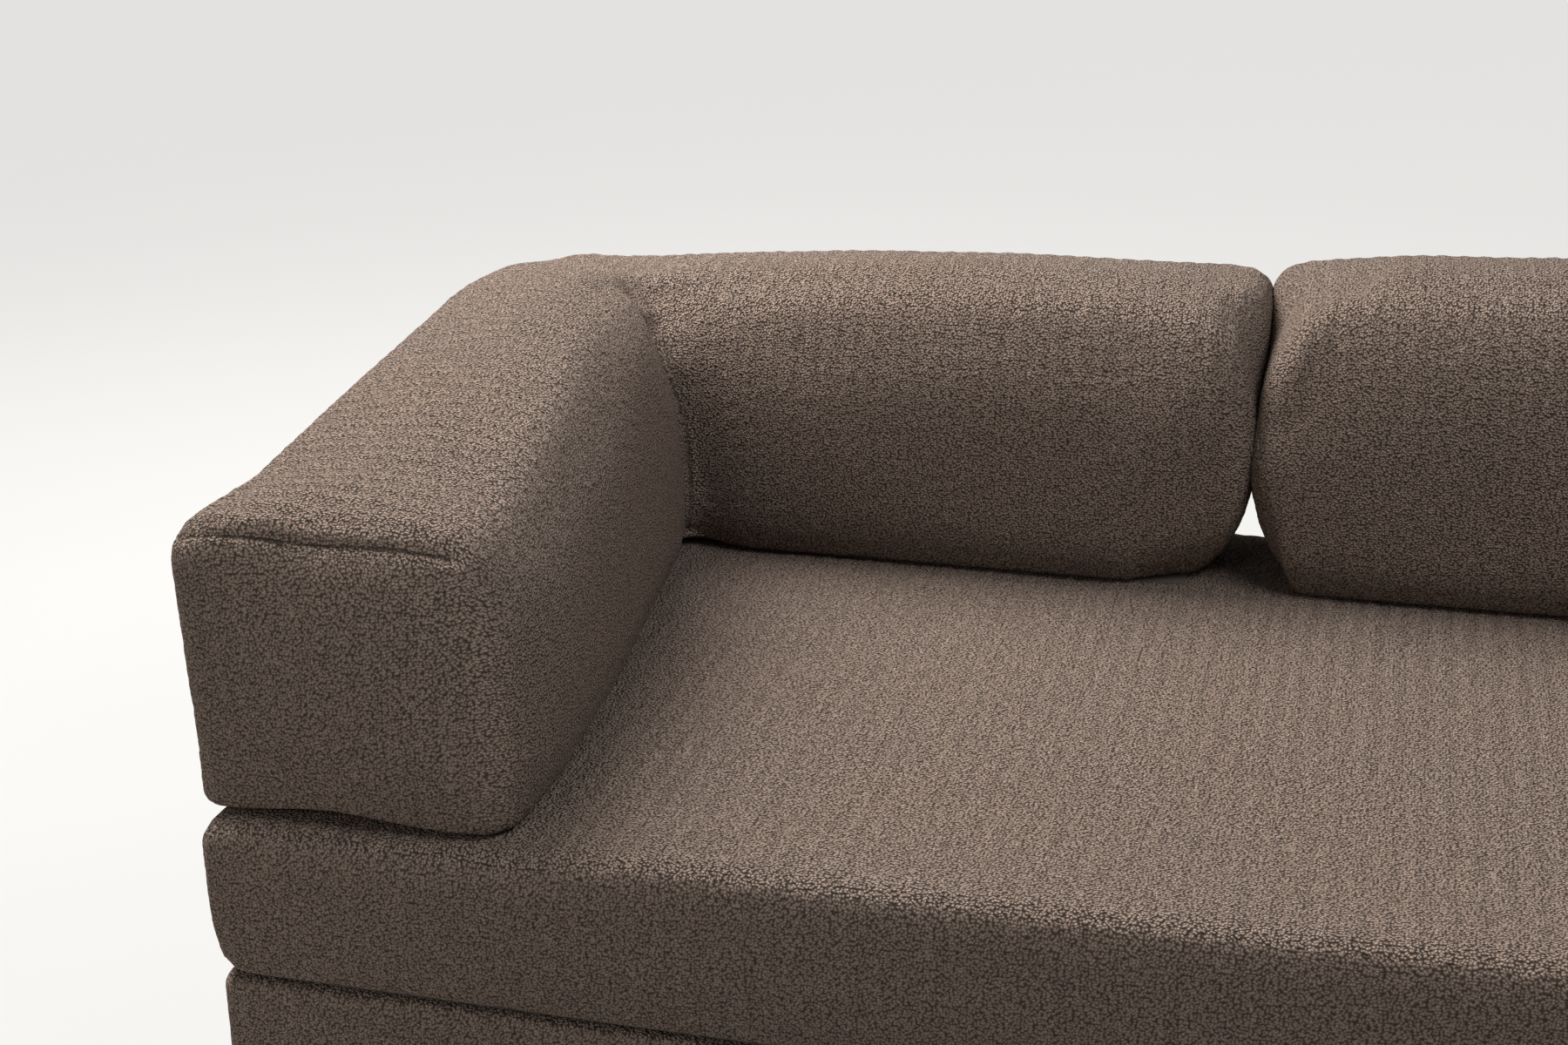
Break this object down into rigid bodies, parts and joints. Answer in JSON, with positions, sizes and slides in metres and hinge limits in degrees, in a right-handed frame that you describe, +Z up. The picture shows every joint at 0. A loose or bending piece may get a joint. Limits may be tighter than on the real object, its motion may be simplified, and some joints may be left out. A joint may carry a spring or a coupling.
{
  "type": "corner sofa",
  "caption": "Low corner sofa: a ribbed boucle seat slab on an upholstered box base, with an L-shaped corner bolster as arm and back and a straight back bolster.",
  "frame": {"origin": "on the floor, under the middle of the sofa's bounding box", "axes": "+X to the sitter's left along the sofa (to the right seen from the front), +Y to the rear, +Z up"},
  "size_m": [2.232, 1.172, 0.7698],
  "materials": {
    "boucle": "matte",
    "lining_cloth": "matte",
    "dust_cloth": "matte",
    "firm_foam": "matte",
    "soft_foam": "matte",
    "pad_foam": "matte",
    "fibre_wadding": "matte",
    "elastic_webbing": "matte",
    "grip_strip": "matte",
    "zip_tape": "matte",
    "timber": "matte",
    "screw_steel": "satin",
    "zip_metal": "satin",
    "black_plastic": "satin"
  },
  "bodies": {
    "base": {"front_rail": "timber", "back_rail": "timber", "left_rail": "timber", "right_rail": "timber", "cross_rails": "timber", "leg_blocks": "timber", "frame_screws": "screw_steel", "webbing": "elastic_webbing", "webbing_stays": "elastic_webbing", "base_pad": "pad_foam", "base_border": "boucle", "deck_cloth": "lining_cloth", "dust_cloth": "dust_cloth", "glides": "black_plastic", "glide_screws": "screw_steel", "deck_grips": "grip_strip"},
    "seat": {"seat_foam": "firm_foam", "seat_topper": "soft_foam", "seat_wadding": "fibre_wadding", "seat_cover": "boucle", "seat_lining": "lining_cloth", "seat_zip": "zip_tape", "seat_grips": "grip_strip"},
    "corner_bolster": {"corner_side_foam": "firm_foam", "corner_back_foam": "firm_foam", "corner_side_wadding": "fibre_wadding", "corner_back_wadding": "fibre_wadding", "corner_cover": "boucle", "corner_lining": "lining_cloth", "corner_zip": "zip_tape"},
    "back_bolster": {"back_foam": "firm_foam", "back_wadding": "fibre_wadding", "back_cover": "boucle", "back_lining": "lining_cloth", "back_zip": "zip_tape"},
    "seat_slider": {"seat_zip_slider": "zip_metal"},
    "corner_slider": {"corner_zip_slider": "zip_metal"},
    "back_slider": {"back_zip_slider": "zip_metal"}
  },
  "joints": [
    {"name": "seat_lift", "type": "slide", "parent": "base", "child": "seat", "axis": [0, 0, 1], "range_m": [0, 0.25]},
    {"name": "corner_lift", "type": "slide", "parent": "seat", "child": "corner_bolster", "axis": [0, 0, 1], "range_m": [0, 0.3]},
    {"name": "back_lift", "type": "slide", "parent": "seat", "child": "back_bolster", "axis": [0, 0, 1], "range_m": [0, 0.3]},
    {"name": "seat_zip_run", "type": "slide", "parent": "seat", "child": "seat_slider", "axis": [1, 0, 0], "range_m": [0, 1.803]},
    {"name": "corner_zip_run", "type": "slide", "parent": "corner_bolster", "child": "corner_slider", "axis": [1, 0, 0], "range_m": [0, 0.573]},
    {"name": "back_zip_run", "type": "slide", "parent": "back_bolster", "child": "back_slider", "axis": [1, 0, 0], "range_m": [0, 0.864]}
  ]
}
